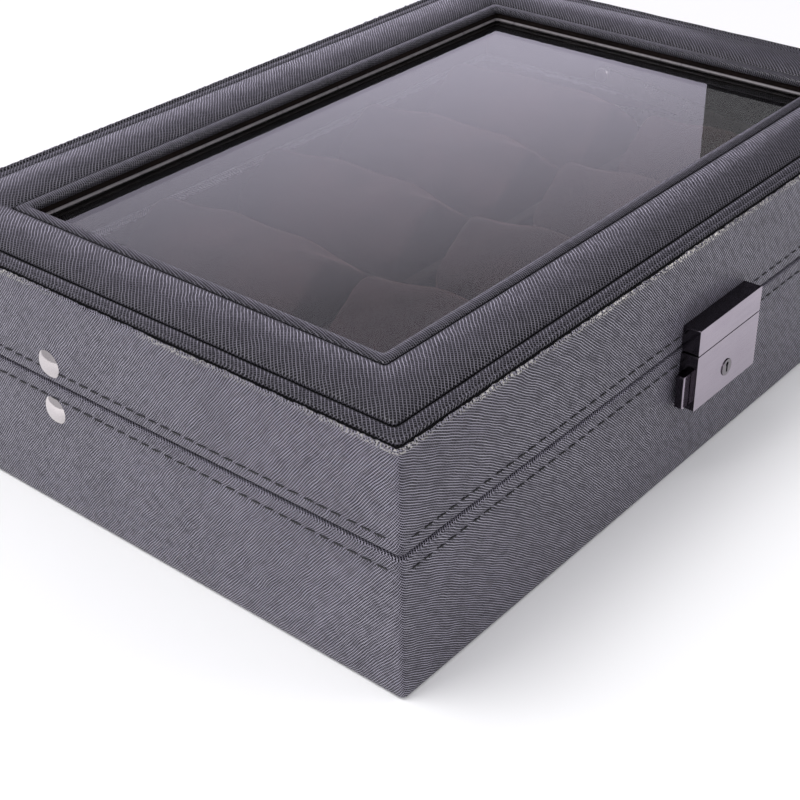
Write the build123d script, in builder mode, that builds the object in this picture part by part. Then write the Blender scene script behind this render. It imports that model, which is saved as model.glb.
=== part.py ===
from build123d import *
import math
import os

# Watch box, millimetres. Origin at the middle of the underside, +Z up.
# The lock is on the -Y face, the hinges are on the +Y face, the long side runs along X.

# ---- Outer case ----
WIDTH = 300.0
DEPTH = 205.0
JOINT_Z = 46.2  # plane where the lid meets the base
JOINT_GAP = 0.4  # between the two leather-covered rims
LID_TOP = 77.8  # top of the lid's side leather
CORNER_R = 3.0
LEATHER = 0.9
BOARD = 10.4
LINING = 0.6
FLOOR_BOARD = 4.0
TURN_IN = 14.0  # leather folded under the base
BASE_TOP = JOINT_Z - JOINT_GAP / 2
LID_BOTTOM = JOINT_Z + JOINT_GAP / 2
BOARD_X = WIDTH / 2 - LEATHER
BOARD_Y = DEPTH / 2 - LEATHER
CAVITY_X = BOARD_X - BOARD
CAVITY_Y = BOARD_Y - BOARD
INNER_X = CAVITY_X - LINING
INNER_Y = CAVITY_Y - LINING
FLOOR_Z = LEATHER + FLOOR_BOARD + LINING

# ---- Lid top ----
FRAME_T = 4.4  # thickness of the wooden frame round the glass
FRAME_Z = LID_TOP - FRAME_T
LEDGE_IN = 6.8  # width of the flat outer border
CROWN_OUT = 7.2
CROWN_IN = 27.0
CROWN_H = 2.4
BEAD_OUT = 27.4
OPENING_IN = 31.4  # from the outside of the lid to the glass opening
BEAD_H = 0.8
LEDGE_H = 1.0
GLASS_T = 2.5
GLASS_UNDER_FRAME = 8.0
RETAINER_H = 6.5
RETAINER_LIP = 2.0

# ---- Inside ----
COLUMNS = 5
DIVIDER_T = 5.0
DIVIDER_TOP = 34.5
DIVIDER_CLEAR = 0.2
PILLOW_W = 45.0
PILLOW_L = 82.0
PILLOW_TOP = 55.5
PILLOW_SHOULDER = 37.0
PILLOW_DIP = 5.0

# ---- Butt hinges on the back ----
HINGE_X = 85.0
HINGE_L = 30.0
LEAF_T = 0.9
LEAF_H = 13.0
KNUCKLE_R = 1.9
PIN_R = 0.8
PIN_CLEAR = 0.05
HINGE_Y = DEPTH / 2 + KNUCKLE_R
SCREW_R = 0.9
SCREW_HEAD_R = 1.9
SCREW_L = 6.0
SCREW_SPAN = 20.0
SCREW_FROM_AXIS = 8.5

# ---- Folding lid stays ----
RIVET_BASE_Y = 29.5
RIVET_BASE_Z = 36.7
RIVET_LID_Z = 52.5
RIVET_HEAD_R = 4.5
RIVET_HEAD_H = 1.4
RIVET_R = 1.5
RIVET_CLEAR = 0.05
LINK_W = 7.0
LINK_T = 1.2
LOWER_X = INNER_X - 2.0  # inner face of the lower link
UPPER_X = LOWER_X - LINK_T - 0.2  # inner face of the upper link
LID_OPEN = 95.0

# ---- Lock ----
LOCK_SHIFT = (-2.5, 0, 0.8)  # the lock is drawn on the centre line, then moved to its place
LOCK_X = 18.2
LOCK_FRONT = -DEPTH / 2 - 6.0
LOCK_BOTTOM = 25.3
LOCK_SPLIT = 44.3
LOCK_TOP = 53.0
LOCK_GAP = 0.4
LOCK_WALL = 1.2
KEY_Z = 32.6
KEY_R = 2.75
KEY_CLEAR = 0.08
BUTTON_OUT = 3.6
BUTTON_TRAVEL = 2.4
HOOK_X = 4.5
HOOK_FRONT = LOCK_FRONT + 2.4
HOOK_BACK = HOOK_FRONT + 1.6
HOOK_BOTTOM = 37.6

os.makedirs("parts", exist_ok=True)


def save(piece, node, shift=(0, 0, 0)):
    solid = piece.part.moved(Location(shift))
    solid.label = node
    export_step(solid, f"parts/{node}.step")


def block(low, high, mode=Mode.ADD):
    """Add or cut a box given by two corners."""
    size = [b - a for a, b in zip(low, high)]
    middle = [(a + b) / 2 for a, b in zip(low, high)]
    with Locations(tuple(middle)):
        Box(*size, mode=mode)


def rod(centre, along, radius, length, mode=Mode.ADD):
    """Add or cut a round bar centred on a point, along X, Y or Z."""
    turn = {"x": (0, 90, 0), "y": (90, 0, 0), "z": (0, 0, 0)}[along]
    with Locations(Location(centre, turn)):
        Cylinder(radius, length, mode=mode)


def plate(half_x, half_y, low, high, corner=0.0, mode=Mode.ADD):
    """Add or cut a flat rectangle with rounded corners, between two heights."""
    with BuildSketch(Plane.XY.offset(low)) as outline:
        if corner > 0:
            RectangleRounded(2 * half_x, 2 * half_y, corner)
        else:
            Rectangle(2 * half_x, 2 * half_y)
    extrude(outline.sketch, amount=high - low, mode=mode)


# The two rivets of a stay are equally far from the hinge line, and each link is that long,
# so hinge, rivets and knee are a rhombus at every lid angle.
LINK_L = math.hypot(HINGE_Y - RIVET_BASE_Y, JOINT_Z - RIVET_BASE_Z)
RIVET_LID_Y = HINGE_Y - math.sqrt(LINK_L**2 - (RIVET_LID_Z - JOINT_Z) ** 2)
KNEE_Y = RIVET_BASE_Y + RIVET_LID_Y - HINGE_Y
KNEE_Z = RIVET_BASE_Z + RIVET_LID_Z - JOINT_Z


def rivet_holes(y, z):
    """Clear both side walls for a rivet's shank."""
    for side in (-1, 1):
        rod((side * BOARD_X, y, z), "x", RIVET_R + 0.1, 4 * BOARD, Mode.SUBTRACT)


def screw_points(up):
    """Centres of the hinge screws, above (+1) or below (-1) the hinge line."""
    z = JOINT_Z + up * SCREW_FROM_AXIS
    shifts = (-SCREW_SPAN / 2, SCREW_SPAN / 2)
    return [(side * HINGE_X + dx, z) for side in (-1, 1) for dx in shifts]


def screw_holes(up):
    for x, z in screw_points(up):
        rod((x, BOARD_Y, z), "y", SCREW_R + 0.1, 2 * SCREW_L + 2, Mode.SUBTRACT)


# ---- Boards of the base and of the lid ----
WALLS = {
    "front": ((-BOARD_X, -BOARD_Y), (BOARD_X, -CAVITY_Y)),
    "back": ((-BOARD_X, CAVITY_Y), (BOARD_X, BOARD_Y)),
    "left": ((-BOARD_X, -CAVITY_Y), (-CAVITY_X, CAVITY_Y)),
    "right": ((CAVITY_X, -CAVITY_Y), (BOARD_X, CAVITY_Y)),
}


def wall_boards(half, low, high, rivet_z, rivet_y, up):
    for side, ((x0, y0), (x1, y1)) in WALLS.items():
        with BuildPart() as board:
            plate(BOARD_X, BOARD_Y, low, high, CORNER_R - LEATHER)
            block((x0, y0, low), (x1, y1, high), Mode.INTERSECT)
            if side in ("left", "right"):
                rivet_holes(rivet_y, rivet_z)
            if side == "back":
                screw_holes(up)
        save(board, f"{half}_board_{side}")


wall_boards("base", LEATHER, BASE_TOP - LEATHER, RIVET_BASE_Z, RIVET_BASE_Y, -1)
wall_boards("lid", LID_BOTTOM + LEATHER, FRAME_Z, RIVET_LID_Z, RIVET_LID_Y, 1)

with BuildPart() as floor_board:
    plate(CAVITY_X, CAVITY_Y, LEATHER, LEATHER + FLOOR_BOARD)
save(floor_board, "base_board_floor")

# ---- Leather, linings and felt of the base ----
with BuildPart() as base_leather:
    plate(WIDTH / 2, DEPTH / 2, 0, BASE_TOP, CORNER_R)
    plate(BOARD_X, BOARD_Y, LEATHER, BASE_TOP - LEATHER, CORNER_R - LEATHER, Mode.SUBTRACT)
    plate(INNER_X, INNER_Y, BASE_TOP - LEATHER, BASE_TOP, mode=Mode.SUBTRACT)
    plate(WIDTH / 2 - TURN_IN, DEPTH / 2 - TURN_IN, 0, LEATHER, mode=Mode.SUBTRACT)
    rivet_holes(RIVET_BASE_Y, RIVET_BASE_Z)
    screw_holes(-1)
save(base_leather, "base_leather")

with BuildPart() as base_felt:
    plate(WIDTH / 2 - TURN_IN - 0.3, DEPTH / 2 - TURN_IN - 0.3, 0, LEATHER)
save(base_felt, "base_felt")

with BuildPart() as base_lining:
    plate(CAVITY_X, CAVITY_Y, LEATHER + FLOOR_BOARD, BASE_TOP - LEATHER)
    plate(INNER_X, INNER_Y, FLOOR_Z, BASE_TOP - LEATHER, mode=Mode.SUBTRACT)
    rivet_holes(RIVET_BASE_Y, RIVET_BASE_Z)
save(base_lining, "base_lining")

# ---- Dividers, halved into each other ----
COLUMN_PITCH = 2 * INNER_X / COLUMNS
SLOT_Z = (FLOOR_Z + DIVIDER_TOP) / 2
CROSS_X = [-INNER_X + COLUMN_PITCH * k for k in range(1, COLUMNS)]
SLOT_HALF = DIVIDER_T / 2 + DIVIDER_CLEAR

with BuildPart() as divider_long:
    reach = INNER_X - DIVIDER_CLEAR
    block((-reach, -DIVIDER_T / 2, FLOOR_Z), (reach, DIVIDER_T / 2, DIVIDER_TOP))
    fillet(divider_long.edges().group_by(Axis.Z)[-1].filter_by(Axis.X), 1.2)
    for x in CROSS_X:
        block((x - SLOT_HALF, -9, SLOT_Z), (x + SLOT_HALF, 9, DIVIDER_TOP + 1), Mode.SUBTRACT)
save(divider_long, "divider_long")

for number, x in enumerate(CROSS_X, 1):
    with BuildPart() as divider_cross:
        reach = INNER_Y - DIVIDER_CLEAR
        block((x - DIVIDER_T / 2, -reach, FLOOR_Z), (x + DIVIDER_T / 2, reach, DIVIDER_TOP))
        fillet(divider_cross.edges().group_by(Axis.Z)[-1].filter_by(Axis.Y), 1.2)
        block((x - 9, -SLOT_HALF, FLOOR_Z), (x + 9, SLOT_HALF, SLOT_Z), Mode.SUBTRACT)
    save(divider_cross, f"divider_cross_{number}")

# ---- Watch pillows: arched across, dipped along ----
PILLOW_Y = (DIVIDER_T / 2 + INNER_Y) / 2
PILLOW_REST = FLOOR_Z + 0.1
DIP_R = ((PILLOW_L / 2) ** 2 + PILLOW_DIP**2) / (2 * PILLOW_DIP)

for row, y in (("front", -PILLOW_Y), ("back", PILLOW_Y)):
    for column in range(COLUMNS):
        x = -INNER_X + COLUMN_PITCH * (column + 0.5)
        with BuildPart() as pillow:
            with BuildSketch(Plane.XZ.offset(-y - PILLOW_L / 2)):
                with BuildLine():
                    left = x - PILLOW_W / 2
                    right = x + PILLOW_W / 2
                    rise = PILLOW_TOP - PILLOW_SHOULDER
                    Line((left, PILLOW_SHOULDER), (left, PILLOW_REST))
                    Line((left, PILLOW_REST), (right, PILLOW_REST))
                    Line((right, PILLOW_REST), (right, PILLOW_SHOULDER))
                    EllipticalCenterArc((x, PILLOW_SHOULDER), PILLOW_W / 2, rise, arc_size=180)
                make_face()
            extrude(amount=PILLOW_L)
            dip_z = PILLOW_TOP - PILLOW_DIP + DIP_R
            rod((x, y, dip_z), "x", DIP_R, 2 * PILLOW_W, Mode.SUBTRACT)
        save(pillow, f"pillow_{row}_{column + 1}")

# ---- Leather, lining, frame and glass of the lid ----
with BuildPart() as lid_leather:
    plate(WIDTH / 2, DEPTH / 2, LID_BOTTOM, LID_TOP, CORNER_R)
    plate(BOARD_X, BOARD_Y, LID_BOTTOM + LEATHER, LID_TOP, CORNER_R - LEATHER, Mode.SUBTRACT)
    plate(INNER_X, INNER_Y, LID_BOTTOM, LID_BOTTOM + LEATHER, mode=Mode.SUBTRACT)
    rivet_holes(RIVET_LID_Y, RIVET_LID_Z)
    screw_holes(1)
save(lid_leather, "lid_leather")

RETAINER_Z = FRAME_Z - RETAINER_H
with BuildPart() as lid_lining:
    plate(CAVITY_X, CAVITY_Y, LID_BOTTOM + LEATHER, RETAINER_Z)
    plate(INNER_X, INNER_Y, LID_BOTTOM + LEATHER, RETAINER_Z, mode=Mode.SUBTRACT)
    rivet_holes(RIVET_LID_Y, RIVET_LID_Z)
save(lid_lining, "lid_lining")

OPENING_X = WIDTH / 2 - OPENING_IN
OPENING_Y = DEPTH / 2 - OPENING_IN
with BuildPart() as lid_top_frame:
    plate(BOARD_X, BOARD_Y, FRAME_Z, LID_TOP, CORNER_R - LEATHER)
    plate(OPENING_X + LEATHER, OPENING_Y + LEATHER, FRAME_Z, LID_TOP, mode=Mode.SUBTRACT)
save(lid_top_frame, "lid_top_frame")

with BuildPart() as lid_opening_lining:
    plate(OPENING_X + LEATHER, OPENING_Y + LEATHER, FRAME_Z, LID_TOP)
    plate(OPENING_X, OPENING_Y, FRAME_Z, LID_TOP, mode=Mode.SUBTRACT)
save(lid_opening_lining, "lid_opening_lining")

GLASS_X = OPENING_X + GLASS_UNDER_FRAME
GLASS_Y = OPENING_Y + GLASS_UNDER_FRAME
with BuildPart() as lid_glass:
    plate(GLASS_X, GLASS_Y, FRAME_Z - GLASS_T, FRAME_Z, 2.0)
    chamfer(lid_glass.edges().group_by(Axis.Z)[-1], 0.4)
save(lid_glass, "lid_glass")

with BuildPart() as lid_retainer:
    plate(CAVITY_X, CAVITY_Y, RETAINER_Z, FRAME_Z)
    lip_x = OPENING_X + RETAINER_LIP
    lip_y = OPENING_Y + RETAINER_LIP
    plate(lip_x, lip_y, RETAINER_Z, FRAME_Z - GLASS_T, mode=Mode.SUBTRACT)
    plate(GLASS_X + 0.4, GLASS_Y + 0.4, FRAME_Z - GLASS_T, FRAME_Z, mode=Mode.SUBTRACT)
save(lid_retainer, "lid_retainer")


def border(outer_in, inner_in, height, edge, corner):
    """A leather border round the lid's top, with its upper edges rounded."""
    with BuildPart() as ring:
        plate(WIDTH / 2 - outer_in, DEPTH / 2 - outer_in, LID_TOP, LID_TOP + height, corner)
        inner = (WIDTH / 2 - inner_in, DEPTH / 2 - inner_in)
        plate(*inner, LID_TOP, LID_TOP + height, mode=Mode.SUBTRACT)
        fillet(ring.edges().group_by(Axis.Z)[-1], edge)
    return ring


save(border(0.3, LEDGE_IN, LEDGE_H, 0.6, CORNER_R - 0.3), "lid_ledge")
save(border(CROWN_OUT, CROWN_IN, CROWN_H, 2.2, 1.2), "lid_crown")
save(border(BEAD_OUT, OPENING_IN, BEAD_H, 0.5, 0.8), "lid_bead")

# ---- Hinges ----
KNUCKLE_GAP = 0.15
MIDDLE_L = HINGE_L / 3


def hinge_leaf(side, up):
    """A leaf and its knuckles. The lower leaf has the two outer knuckles."""
    centre = side * HINGE_X
    near = JOINT_Z + up * (KNUCKLE_R + 0.2)
    far = JOINT_Z + up * LEAF_H
    face = DEPTH / 2
    outer_l = (HINGE_L - MIDDLE_L) / 2
    spans = [(centre, MIDDLE_L)]
    if up < 0:
        shift = (MIDDLE_L + outer_l) / 2
        spans = [(centre - shift, outer_l), (centre + shift, outer_l)]
    with BuildPart() as leaf:
        low_x, high_x = centre - HINGE_L / 2, centre + HINGE_L / 2
        block((low_x, face, min(near, far)), (high_x, face + LEAF_T, max(near, far)))
        for middle, length in spans:
            half = length / 2 - KNUCKLE_GAP
            rod((middle, HINGE_Y, JOINT_Z), "x", KNUCKLE_R, 2 * half)
            tab_low = min(JOINT_Z, near + up)
            tab_high = max(JOINT_Z, near + up)
            block((middle - half, face, tab_low), (middle + half, face + LEAF_T, tab_high))
        rod((centre, HINGE_Y, JOINT_Z), "x", PIN_R + PIN_CLEAR, 2 * HINGE_L, Mode.SUBTRACT)
        for x, z in screw_points(up):
            if abs(x - centre) < HINGE_L:
                rod((x, face, z), "y", SCREW_R + 0.1, 4, Mode.SUBTRACT)
    return leaf


for name, side in (("left", -1), ("right", 1)):
    save(hinge_leaf(side, -1), f"hinge_leaf_base_{name}")
    save(hinge_leaf(side, 1), f"hinge_leaf_lid_{name}")

with BuildPart() as hinge_pins:
    for side in (-1, 1):
        rod((side * HINGE_X, HINGE_Y, JOINT_Z), "x", PIN_R, HINGE_L)
        for end in (-1, 1):
            cap_x = side * HINGE_X + end * (HINGE_L / 2 + 0.3)
            rod((cap_x, HINGE_Y, JOINT_Z), "x", PIN_R + 0.5, 0.6)
save(hinge_pins, "hinge_pins")


def hinge_screws(up):
    """Round-head wood screws through the leaves into the back board."""
    head_y = DEPTH / 2 + LEAF_T
    with BuildPart() as screws:
        for x, z in screw_points(up):
            rod((x, head_y + 0.3, z), "y", SCREW_HEAD_R, 0.6)
            rod((x, head_y - SCREW_L / 2, z), "y", SCREW_R, SCREW_L)
            block((x - 1.3, head_y + 0.3, z - 0.2), (x + 1.3, head_y + 1, z + 0.2), Mode.SUBTRACT)
    return screws


save(hinge_screws(-1), "hinge_screws_base")
save(hinge_screws(1), "hinge_screws_lid")

# ---- Lid stays ----
KNEE_PEG_AT = 7.0
PEG_R = 0.8
LOWER_ANGLE = math.degrees(math.atan2(RIVET_BASE_Z - KNEE_Z, RIVET_BASE_Y - KNEE_Y))
PEG_SWING = math.degrees(math.asin((LINK_W / 2 + PEG_R + 0.1) / KNEE_PEG_AT))
PEG_ANGLE = math.radians(LOWER_ANGLE - LID_OPEN - PEG_SWING)
PEG_Y = KNEE_Y + KNEE_PEG_AT * math.cos(PEG_ANGLE)
PEG_Z = KNEE_Z + KNEE_PEG_AT * math.sin(PEG_ANGLE)


def bar(side, inner_x, start, end, width):
    """Extrude a flat bar of a stay."""
    face_x = side * (inner_x + LINK_T / 2) - LINK_T / 2
    middle = ((start[0] + end[0]) / 2, (start[1] + end[1]) / 2)
    turn = math.degrees(math.atan2(end[1] - start[1], end[0] - start[0]))
    with BuildSketch(Plane.YZ.offset(face_x)) as outline:
        with Locations(Location((*middle, 0), (0, 0, turn))):
            SlotCenterToCenter(math.dist(start, end), width)
    extrude(outline.sketch, amount=LINK_T)


BASE_PIVOT = (RIVET_BASE_Y, RIVET_BASE_Z)
LID_PIVOT = (RIVET_LID_Y, RIVET_LID_Z)
KNEE = (KNEE_Y, KNEE_Z)

for name, side in (("left", -1), ("right", 1)):
    lower_mid = side * (LOWER_X + LINK_T / 2)
    upper_mid = side * (UPPER_X + LINK_T / 2)
    with BuildPart() as stay_lower:
        bar(side, LOWER_X, BASE_PIVOT, KNEE, LINK_W)
        rod((lower_mid, *BASE_PIVOT), "x", RIVET_R + RIVET_CLEAR, 3, Mode.SUBTRACT)
        rod((lower_mid, *KNEE), "x", RIVET_R, 3, Mode.SUBTRACT)
    save(stay_lower, f"stay_lower_{name}")

    with BuildPart() as stay_upper:
        bar(side, UPPER_X, LID_PIVOT, KNEE, LINK_W)
        bar(side, UPPER_X, KNEE, (PEG_Y, PEG_Z), 2 * PEG_R + 1.6)
        peg_l = LOWER_X + LINK_T - UPPER_X - LINK_T
        rod((side * (UPPER_X + LINK_T + peg_l / 2), PEG_Y, PEG_Z), "x", PEG_R, peg_l)
        for pivot in (LID_PIVOT, KNEE):
            rod((upper_mid, *pivot), "x", RIVET_R + RIVET_CLEAR, 3, Mode.SUBTRACT)
    save(stay_upper, f"stay_upper_{name}")

    with BuildPart() as knee_rivet:
        outer = LOWER_X + LINK_T
        inner = UPPER_X - 0.05
        rod((side * (outer + inner) / 2, *KNEE), "x", RIVET_R, outer - inner)
        rod((side * (outer + 0.2), *KNEE), "x", 2.8, 0.4)
        rod((side * (inner - 0.3), *KNEE), "x", 2.8, 0.6)
    save(knee_rivet, f"stay_knee_rivet_{name}")


def wall_rivet(side, pivot, link_inner):
    """A domed rivet through the side wall that a link turns on."""
    y, z = pivot
    face = WIDTH / 2
    link_outer = link_inner + LINK_T
    tail = link_inner - 0.1
    with BuildPart() as rivet:
        head = Plane(origin=(side * face, y, z), x_dir=(side, 0, 0), z_dir=(0, 0, 1))
        with BuildSketch(head) as dome:
            with BuildLine():
                Line((0, 0), (RIVET_HEAD_H, 0))
                crown_r = RIVET_HEAD_R * 0.64
                ThreePointArc((RIVET_HEAD_H, 0), (RIVET_HEAD_H * 0.72, crown_r), (0, RIVET_HEAD_R))
                Line((0, RIVET_HEAD_R), (0, 0))
            make_face()
        revolve(dome.sketch, axis=Axis((side * face, y, z), (1, 0, 0)))
        rod((side * (face + tail) / 2, y, z), "x", RIVET_R, face - tail)
        spacer_l = INNER_X - link_outer - 0.15
        rod((side * (INNER_X - spacer_l / 2), y, z), "x", 2.5, spacer_l)
        rod((side * (tail - 0.3), y, z), "x", 2.8, 0.6)
    return rivet


for name, side in (("left", -1), ("right", 1)):
    save(wall_rivet(side, BASE_PIVOT, LOWER_X), f"stay_rivet_base_{name}")
    save(wall_rivet(side, LID_PIVOT, UPPER_X), f"stay_rivet_lid_{name}")

# ---- Lock on the base ----
WALL_Y = -DEPTH / 2
CASE_TOP = LOCK_SPLIT - LOCK_GAP / 2
IN_X = LOCK_X - LOCK_WALL
IN_LOW = LOCK_BOTTOM + LOCK_WALL
IN_HIGH = CASE_TOP - LOCK_WALL
IN_FRONT = LOCK_FRONT + 1.0
BUTTON_FRONT = LOCK_FRONT + 2.0
BUTTON_BACK = BUTTON_FRONT + 2.9
BUTTON_LOW = 27.0
BUTTON_HIGH = 38.2
SLIDE_CLEAR = 0.15
SLIDER_FRONT = HOOK_BACK + 0.2
SLIDER_BACK = SLIDER_FRONT + 0.8

with BuildPart() as lock_case:
    block((-LOCK_X, LOCK_FRONT, LOCK_BOTTOM), (LOCK_X, WALL_Y, CASE_TOP))
    fillet(lock_case.edges().filter_by(Axis.Y), 0.5)
    block((-IN_X, IN_FRONT, IN_LOW), (IN_X, WALL_Y, IN_HIGH), Mode.SUBTRACT)
    slot = HOOK_X + 0.6
    block((-slot, HOOK_FRONT - 0.6, IN_HIGH), (slot, HOOK_BACK + 0.4, LOCK_TOP), Mode.SUBTRACT)
    window = (BUTTON_FRONT - SLIDE_CLEAR, BUTTON_LOW - SLIDE_CLEAR)
    window_far = (BUTTON_BACK + SLIDE_CLEAR, BUTTON_HIGH + SLIDE_CLEAR)
    block((-LOCK_X - 1, *window), (-IN_X, *window_far), Mode.SUBTRACT)
    rod((0, LOCK_FRONT, KEY_Z), "y", KEY_R + KEY_CLEAR, 4, Mode.SUBTRACT)
save(lock_case, "lock_case", LOCK_SHIFT)

with BuildPart() as lock_backplate:
    block((-IN_X + 0.1, WALL_Y - 0.8, IN_LOW + 0.1), (IN_X - 0.1, WALL_Y, IN_HIGH - 0.1))
save(lock_backplate, "lock_backplate", LOCK_SHIFT)

with BuildPart() as lock_button:
    block((-LOCK_X - BUTTON_OUT, BUTTON_FRONT, BUTTON_LOW), (-14.5, BUTTON_BACK, BUTTON_HIGH))
    fillet(lock_button.faces().sort_by(Axis.X)[0].edges(), 0.5)
save(lock_button, "lock_button", LOCK_SHIFT)

# The slider joins the button to the catch tooth, and a bent tongue at its far end is the spring.
# The tooth stands just clear of the hook's path.
SLIDER_END = 9.0
SLIDER_LOW = 29.4
SLIDER_HIGH = 40.6
NOTCH_Z = 39.6
TOOTH_CLEAR = 0.2
LUG_RIGHT = -7.0
with BuildPart() as lock_slider:
    block((-14.5, SLIDER_FRONT, SLIDER_LOW), (SLIDER_END, SLIDER_BACK, SLIDER_HIGH))
    block((HOOK_X + TOOTH_CLEAR, HOOK_FRONT, NOTCH_Z - 1), (SLIDER_END, SLIDER_FRONT, SLIDER_HIGH))
    block((LUG_RIGHT - 1.4, SLIDER_FRONT - 1.2, KEY_Z - 1), (LUG_RIGHT, SLIDER_FRONT, KEY_Z + 1))
    with BuildSketch(Plane.XY.offset(KEY_Z - 0.4)):
        with BuildLine():
            FilletPolyline(
                (SLIDER_END - 0.5, SLIDER_FRONT + 0.45),
                (SLIDER_END + 2.5, SLIDER_FRONT + 0.45),
                (SLIDER_END + 4.8, SLIDER_FRONT - 1.8),
                (SLIDER_END + 2.6, SLIDER_FRONT - 2.6),
                radius=0.6,
            )
            offset(amount=0.18, side=Side.BOTH)
        make_face()
    extrude(amount=4.0)
save(lock_slider, "lock_slider", LOCK_SHIFT)

# The key plug turns a lobe in front of the slider's lug, which stays 0.2 mm clear of it.
LOBE_REACH = 4.4
HUB_R = 1.9
PLUG_BACK = SLIDER_FRONT - 1.3
with BuildPart() as lock_plug:
    plug_front = LOCK_FRONT - 0.3
    plug_l = PLUG_BACK - plug_front
    rod((0, plug_front + plug_l / 2, KEY_Z), "y", KEY_R, plug_l)
    block((-0.45, plug_front - 1, KEY_Z - 1.6), (0.45, PLUG_BACK - 0.6, KEY_Z + 1.6), Mode.SUBTRACT)
    rod((0, plug_front, KEY_Z + 1.1), "y", 0.75, 3.0, Mode.SUBTRACT)
    hub_l = 1.0
    rod((0, PLUG_BACK + hub_l / 2, KEY_Z), "y", HUB_R, hub_l)
    lobe_low = KEY_Z - LOBE_REACH
    block((-1.1, PLUG_BACK, lobe_low), (1.1, PLUG_BACK + hub_l, KEY_Z))
save(lock_plug, "lock_plug", LOCK_SHIFT)

# ---- Lock on the lid ----
with BuildPart() as lock_hasp:
    hasp_low = LOCK_SPLIT + LOCK_GAP / 2
    block((-LOCK_X, LOCK_FRONT, hasp_low), (LOCK_X, WALL_Y, LOCK_TOP))
    fillet(lock_hasp.edges().filter_by(Axis.Y), 0.5)
    block((-LOCK_X, WALL_Y - 0.4, hasp_low), (LOCK_X, WALL_Y, LID_BOTTOM), Mode.SUBTRACT)
    block((-HOOK_X, HOOK_FRONT, hasp_low), (HOOK_X, HOOK_BACK, hasp_low + 3), Mode.SUBTRACT)
save(lock_hasp, "lock_hasp", LOCK_SHIFT)

with BuildPart() as lock_hook:
    block((-HOOK_X, HOOK_FRONT, HOOK_BOTTOM), (HOOK_X, HOOK_BACK, hasp_low + 3))
    chamfer(lock_hook.edges().group_by(Axis.Z)[0].filter_by(Axis.Y), 1.0)
    block((HOOK_X - 1.4, HOOK_FRONT, NOTCH_Z), (HOOK_X, HOOK_BACK, NOTCH_Z + 2.4), Mode.SUBTRACT)
save(lock_hook, "lock_hook", LOCK_SHIFT)
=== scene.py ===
# %% [markdown]
# # A leather watch box
# The box is a board case wrapped in cross-grained leather. A padded border runs round a glass
# lid, and ten velvet pillows sit inside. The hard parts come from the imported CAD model, which
# is already in the right place, so this lesson adds what CAD can't show: leather that folds,
# thread, velvet and metal. The model is loaded first and stays as it is.

# %% Load the frame
import math
import random

import bmesh
import bpy
from mathutils import Matrix, Vector, noise


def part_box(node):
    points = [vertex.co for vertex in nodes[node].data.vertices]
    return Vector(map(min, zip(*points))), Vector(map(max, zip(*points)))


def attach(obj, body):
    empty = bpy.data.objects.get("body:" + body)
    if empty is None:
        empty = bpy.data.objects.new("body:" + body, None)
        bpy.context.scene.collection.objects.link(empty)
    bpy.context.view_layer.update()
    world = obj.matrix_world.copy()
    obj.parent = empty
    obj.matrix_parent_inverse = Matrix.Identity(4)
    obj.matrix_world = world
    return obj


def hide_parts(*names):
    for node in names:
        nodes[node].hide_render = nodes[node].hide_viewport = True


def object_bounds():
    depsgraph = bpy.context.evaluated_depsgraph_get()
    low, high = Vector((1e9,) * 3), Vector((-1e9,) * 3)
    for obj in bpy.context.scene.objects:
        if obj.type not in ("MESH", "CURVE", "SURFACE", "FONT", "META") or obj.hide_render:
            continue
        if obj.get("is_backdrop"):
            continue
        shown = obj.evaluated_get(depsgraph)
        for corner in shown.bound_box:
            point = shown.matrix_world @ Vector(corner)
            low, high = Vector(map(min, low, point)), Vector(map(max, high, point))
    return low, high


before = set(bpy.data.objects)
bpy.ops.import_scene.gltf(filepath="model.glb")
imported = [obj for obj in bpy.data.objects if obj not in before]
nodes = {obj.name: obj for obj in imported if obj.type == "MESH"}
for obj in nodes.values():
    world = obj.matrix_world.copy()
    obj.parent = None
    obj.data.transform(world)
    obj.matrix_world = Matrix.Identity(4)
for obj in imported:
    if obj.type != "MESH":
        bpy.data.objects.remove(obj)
MM = 0.001
cad_box = [list(corner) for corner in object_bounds()]
print("frame:", len(nodes), "nodes; box in mm:", [round(v / MM, 1) for v in cad_box[1]])

# %% [markdown]
# ## Where things are
# Every place comes from the CAD nodes' boxes, so a change of the case's size moves the leather,
# the thread and the pillows with it. Only the small depths of folds and grooves are chosen here.

# %% Read the main sizes
HALF_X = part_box("base_leather")[1][0]
HALF_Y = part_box("base_leather")[1][1]
BASE_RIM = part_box("base_leather")[1][2]
LID_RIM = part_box("lid_leather")[0][2]
LID_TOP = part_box("lid_leather")[1][2]
WALL = HALF_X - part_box("lid_lining")[1][0] + 0.6 * MM
GLASS_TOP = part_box("lid_glass")[1][2]
OPENING = HALF_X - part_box("lid_bead")[1][0] + 4 * MM
print("case half sizes, mm:", round(HALF_X / MM, 1), round(HALF_Y / MM, 1))

# %% [markdown]
# ## Light and camera
# A black leather box is mostly seen by what it reflects, so the light comes from soft panels and
# a pale room and not from small bright lamps. What the glass mirrors is set up with the floor,
# at the end. The camera has a long lens and no shift, so other views stay centred.

# %% Set the camera
CAMERA_AT = Vector((-0.37393, -0.29454, 0.27934))
CAMERA_RIGHT = Vector((0.641693, -0.766788, -0.016327))
CAMERA_DOWN = Vector((-0.419584, -0.333153, -0.844369))
LENS = 69.5
SENSOR = 36
NEAREST = 0.01

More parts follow.
